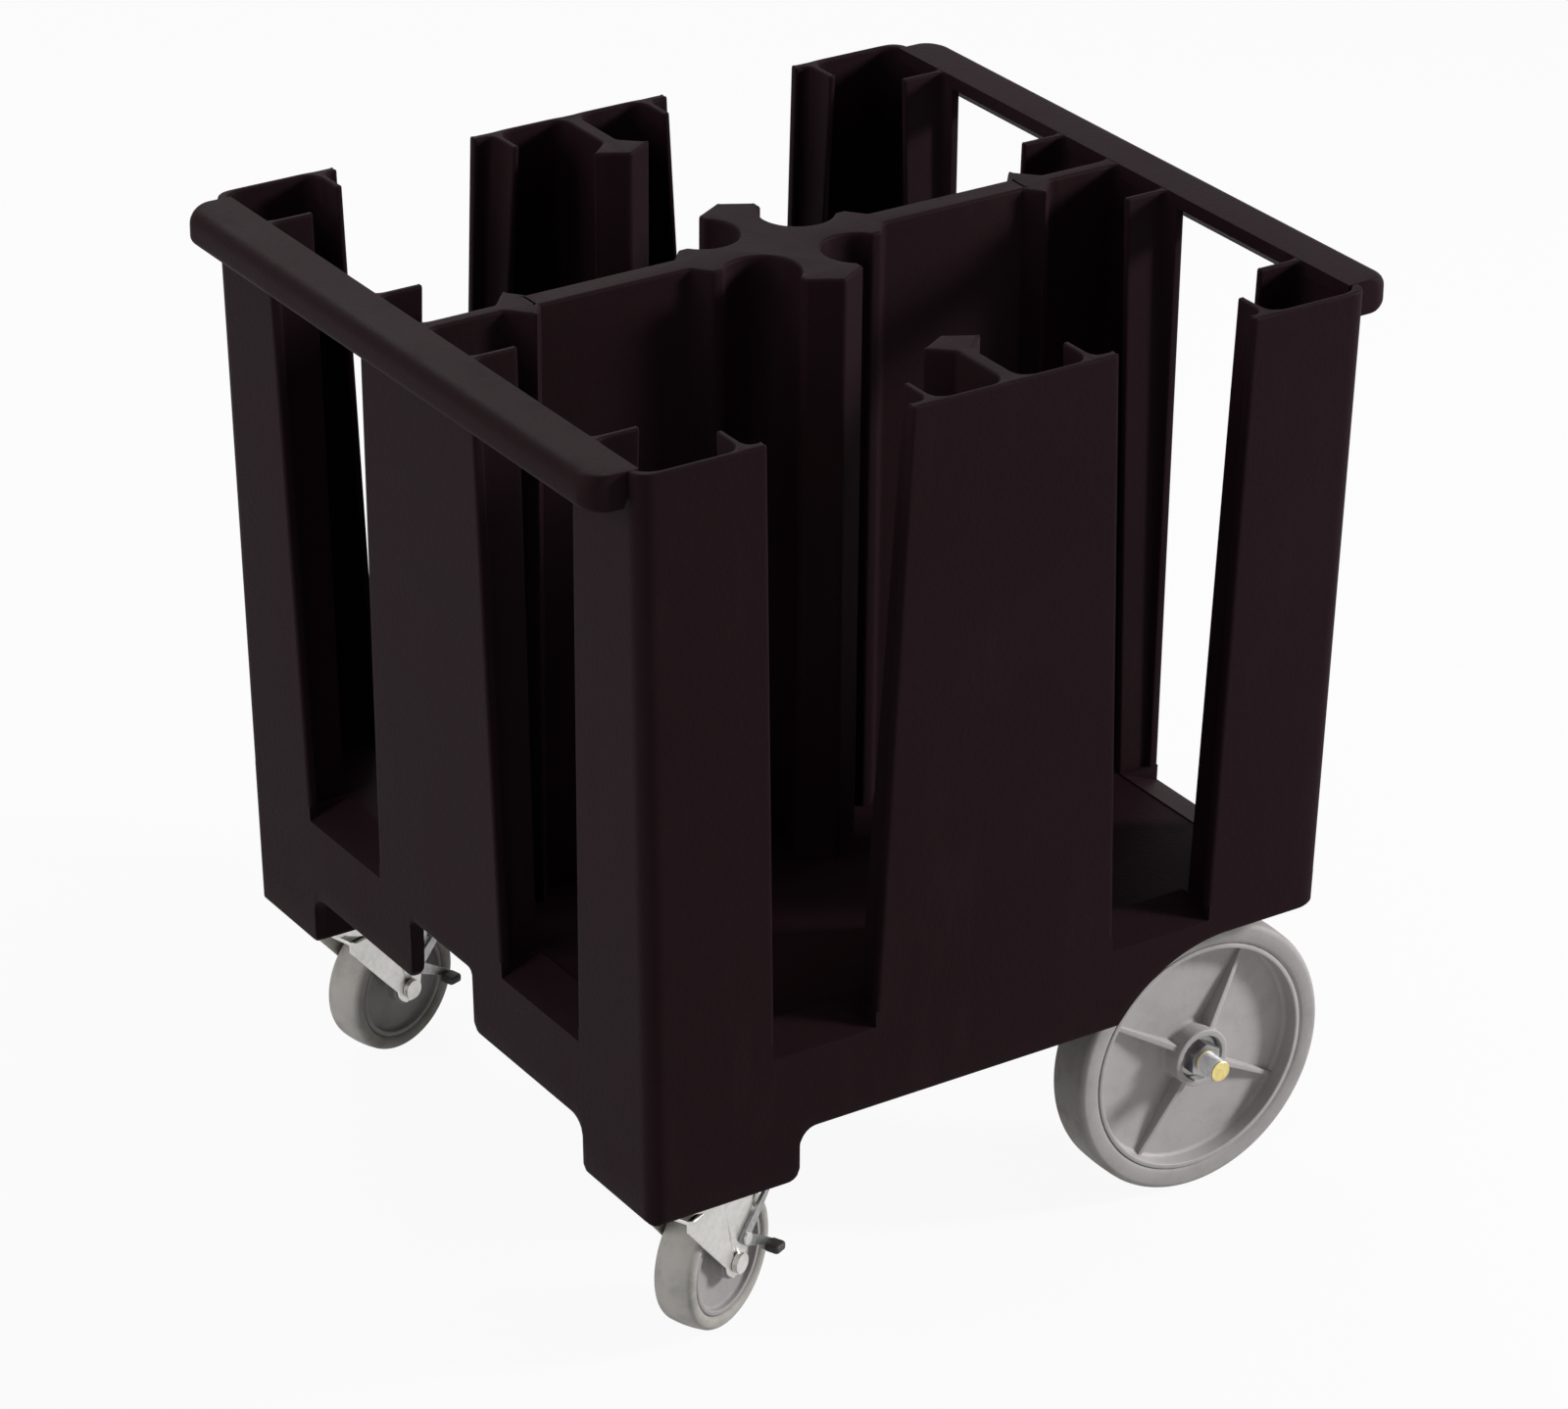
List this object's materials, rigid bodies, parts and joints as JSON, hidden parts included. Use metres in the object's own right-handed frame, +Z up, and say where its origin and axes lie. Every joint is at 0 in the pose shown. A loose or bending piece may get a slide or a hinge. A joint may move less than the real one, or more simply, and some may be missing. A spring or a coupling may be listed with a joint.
{
  "type": "dish caddy",
  "caption": "Moulded dish caddy on swivel front casters with side brakes and large rear wheels, with open-slotted columns for stacked plates and a handle rail at each end.",
  "frame": {"origin": "on the floor, under the middle of the moulded body", "axes": "-X to the front (casters), -Y to the left side, +Z up"},
  "size_m": [0.768, 0.68, 0.83],
  "materials": {
    "moulding": "fine moulded grain, satin black",
    "wheel_core": "moulded, satin grey",
    "tread": "non-marking grey tread",
    "zinc_steel": "bright zinc plate"
  },
  "bodies": {
    "caddy": {"base": "moulding", "corner_post_rear_right": "moulding", "corner_post_rear_left": "moulding", "corner_post_front_right": "moulding", "corner_post_front_left": "moulding", "side_post_right": "moulding", "side_post_left": "moulding", "end_post_rear": "moulding", "end_post_front": "moulding", "divider": "moulding", "rail_rear": "moulding", "rail_front": "moulding", "front_leg_left": "moulding", "front_leg_right": "moulding", "axle_leg_left": "moulding", "axle_leg_right": "moulding", "rear_axle": "zinc_steel", "axle_spacers": "zinc_steel", "axle_washers": "zinc_steel", "axle_nuts": "zinc_steel", "caster_plate_left": "zinc_steel", "caster_bearing_left": "zinc_steel", "caster_kingpin_left": "zinc_steel", "caster_bolts_left": "zinc_steel", "caster_plate_right": "zinc_steel", "caster_bearing_right": "zinc_steel", "caster_kingpin_right": "zinc_steel", "caster_bolts_right": "zinc_steel"},
    "swivel_left": {"caster_fork_left": "zinc_steel", "caster_axle_left": "zinc_steel", "caster_nut_left": "zinc_steel", "caster_sleeve_left": "zinc_steel", "brake_pin_left": "zinc_steel"},
    "caster_roller_left": {"caster_wheel_left": "wheel_core", "caster_tread_left": "tread"},
    "brake_left": {"brake_lever_left": "zinc_steel"},
    "rear_roller_left": {"rear_wheel_left": "wheel_core", "rear_tyre_left": "tread"},
    "swivel_right": {"caster_fork_right": "zinc_steel", "caster_axle_right": "zinc_steel", "caster_nut_right": "zinc_steel", "caster_sleeve_right": "zinc_steel", "brake_pin_right": "zinc_steel"},
    "caster_roller_right": {"caster_wheel_right": "wheel_core", "caster_tread_right": "tread"},
    "brake_right": {"brake_lever_right": "zinc_steel"},
    "rear_roller_right": {"rear_wheel_right": "wheel_core", "rear_tyre_right": "tread"}
  },
  "joints": [
    {"name": "caster_swivel_left", "type": "hinge", "parent": "caddy", "child": "swivel_left", "pos_m": [-0.263, -0.275, 0.1375], "axis": [0, 0, 1], "continuous": true},
    {"name": "caster_roll_left", "type": "hinge", "parent": "swivel_left", "child": "caster_roller_left", "pos_m": [-0.22856, -0.25894, 0.0635], "axis": [-0.4226, 0.9063, 0], "continuous": true},
    {"name": "brake_press_left", "type": "hinge", "parent": "swivel_left", "child": "brake_left", "pos_m": [-0.21053, -0.27867, 0.084], "axis": [-0.4226, 0.9063, 0], "range_deg": [0, 7]},
    {"name": "rear_roll_left", "type": "hinge", "parent": "caddy", "child": "rear_roller_left", "pos_m": [0.241, -0.281, 0.127], "axis": [0, 1, 0], "continuous": true},
    {"name": "caster_swivel_right", "type": "hinge", "parent": "caddy", "child": "swivel_right", "pos_m": [-0.263, 0.275, 0.1375], "axis": [0, 0, 1], "continuous": true},
    {"name": "caster_roll_right", "type": "hinge", "parent": "swivel_right", "child": "caster_roller_right", "pos_m": [-0.22647, 0.28547, 0.0635], "axis": [-0.2756, 0.9613, 0], "continuous": true},
    {"name": "brake_press_right", "type": "hinge", "parent": "swivel_right", "child": "brake_right", "pos_m": [-0.21175, 0.26317, 0.084], "axis": [-0.2756, 0.9613, 0], "range_deg": [0, 7]},
    {"name": "rear_roll_right", "type": "hinge", "parent": "caddy", "child": "rear_roller_right", "pos_m": [0.241, 0.281, 0.127], "axis": [0, 1, 0], "continuous": true}
  ]
}
